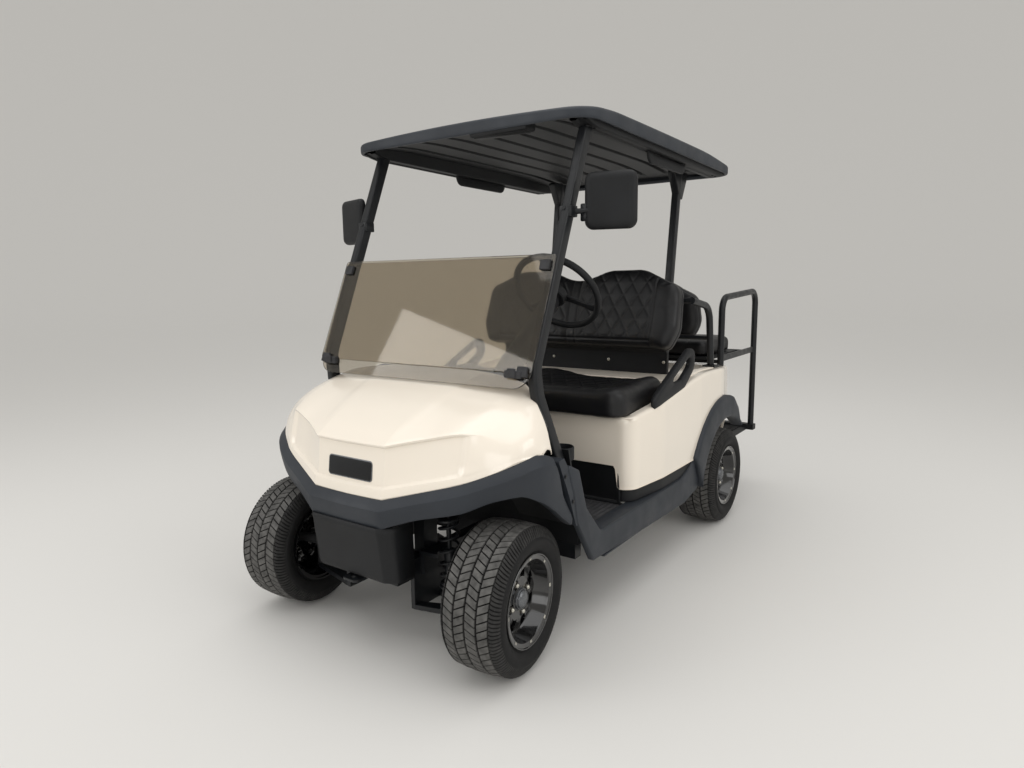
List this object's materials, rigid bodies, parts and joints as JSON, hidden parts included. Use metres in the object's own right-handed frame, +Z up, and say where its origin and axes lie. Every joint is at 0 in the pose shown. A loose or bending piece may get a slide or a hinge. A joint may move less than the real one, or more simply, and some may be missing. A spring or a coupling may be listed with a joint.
{
  "type": "golf cart",
  "caption": "Open electric golf cart with a roof, folding windscreen, front bench, rear flip seat, rear foot plate and steered front wheels.",
  "frame": {"origin": "on the floor under the middle of the overall length and width", "axes": "+Z up, -Y towards the nose, +X to the driver's side (the vehicle's left)"},
  "size_m": [1.364, 2.6381, 1.7517],
  "materials": {
    "tyre_rubber": "matte",
    "wheel_black": "gloss",
    "frame_black": "satin",
    "axle_iron": "matte",
    "body_cream": "gloss",
    "trim_slate": "satin",
    "trim_black": "matte",
    "seat_vinyl": "soft sheen",
    "rubber_mat": "matte",
    "screen_smoke": "clear tinted",
    "battery_case": "matte"
  },
  "bodies": {
    "chassis": {"frame_rails": "frame_black", "suspension_arms": "frame_black", "front_shocks": "frame_black", "shock_towers": "frame_black", "rear_springs": "frame_black", "seat_frame": "frame_black", "side_hoops": "frame_black", "rear_struts": "frame_black", "steering_rack": "axle_iron", "rear_axle": "axle_iron", "motor": "axle_iron", "front_hood": "body_cream", "rear_body": "body_cream", "front_fascia": "trim_slate", "rocker_left": "trim_slate", "rocker_right": "trim_slate", "rear_flares": "trim_slate", "roof_canopy": "trim_slate", "front_pillars": "trim_slate", "floor_pan": "trim_black", "wheel_liners": "trim_black", "pillar_feet": "trim_black", "dash_panel": "trim_black", "cup_rings": "trim_black", "pedals": "trim_black", "steering_column": "trim_black", "kick_panel": "trim_black", "seat_back_panel": "trim_black", "hip_restraints": "trim_black", "foot_plate": "trim_black", "roof_channels": "trim_black", "mirrors": "trim_black", "seat_back": "seat_vinyl", "rear_back": "seat_vinyl", "floor_mat": "rubber_mat", "screen_clips": "rubber_mat", "windscreen_lower": "screen_smoke", "windscreen_upper": "screen_smoke", "battery_pack": "battery_case"},
    "knuckle_left": {"knuckle_left": "frame_black"},
    "knuckle_right": {"knuckle_right": "frame_black"},
    "tie_rods": {"tie_rods": "frame_black"},
    "steering_wheel": {"steering_wheel": "trim_black"},
    "seat_base": {"seat_cushion": "seat_vinyl"},
    "rear_flip": {"rear_cushion": "seat_vinyl", "rear_board": "trim_black"},
    "wheel_front_left": {"rim_front_left": "wheel_black", "tyre_front_left": "tyre_rubber"},
    "wheel_front_right": {"rim_front_right": "wheel_black", "tyre_front_right": "tyre_rubber"},
    "wheel_rear_left": {"rim_rear_left": "wheel_black", "tyre_rear_left": "tyre_rubber"},
    "wheel_rear_right": {"rim_rear_right": "wheel_black", "tyre_rear_right": "tyre_rubber"}
  },
  "joints": [
    {"name": "steer_left", "type": "hinge", "parent": "chassis", "child": "knuckle_left", "pos_m": [0.374, -1.08091, 0.2295], "axis": [0, 0, 1], "range_deg": [-33, 23]},
    {"name": "steer_right", "type": "hinge", "parent": "chassis", "child": "knuckle_right", "pos_m": [-0.374, -1.08091, 0.2295], "axis": [0, 0, 1], "range_deg": [-33, 23]},
    {"name": "rack_slide", "type": "slide", "parent": "chassis", "child": "tie_rods", "axis": [1, 0, 0], "range_m": [-0.0365, 0.0525]},
    {"name": "steering_wheel_turn", "type": "hinge", "parent": "chassis", "child": "steering_wheel", "pos_m": [0.27, -0.45191, 1.136], "axis": [0, 0.7779, 0.6284], "range_deg": [-463, 323]},
    {"name": "seat_base_hinge", "type": "hinge", "parent": "chassis", "child": "seat_base", "pos_m": [0, 0.01909, 0.6673], "axis": [-1, 0, 0], "range_deg": [0, 60]},
    {"name": "rear_seat_flip", "type": "hinge", "parent": "chassis", "child": "rear_flip", "pos_m": [0, 1.11909, 0.785], "axis": [-1, 0, 0], "range_deg": [0, 180]},
    {"name": "wheel_spin_front_left", "type": "hinge", "parent": "knuckle_left", "child": "wheel_front_left", "pos_m": [0.45868, -1.0735, 0.2295], "axis": [0.9962, 0.0872, 0], "continuous": true},
    {"name": "wheel_spin_rear_left", "type": "hinge", "parent": "chassis", "child": "wheel_rear_left", "pos_m": [0.517, 0.58309, 0.2295], "axis": [1, 0, 0], "continuous": true},
    {"name": "wheel_spin_front_right", "type": "hinge", "parent": "knuckle_right", "child": "wheel_front_right", "pos_m": [-0.45868, -1.08832, 0.2295], "axis": [0.9962, 0.0872, 0], "continuous": true},
    {"name": "wheel_spin_rear_right", "type": "hinge", "parent": "chassis", "child": "wheel_rear_right", "pos_m": [-0.517, 0.58309, 0.2295], "axis": [1, 0, 0], "continuous": true}
  ],
  "couplings": [
    {"joint": "steer_right", "follows": "steer_left", "ratio": 1},
    {"joint": "rack_slide", "follows": "steer_left", "m_per_rad": -0.09},
    {"joint": "steering_wheel_turn", "follows": "steer_left", "ratio": 14}
  ]
}
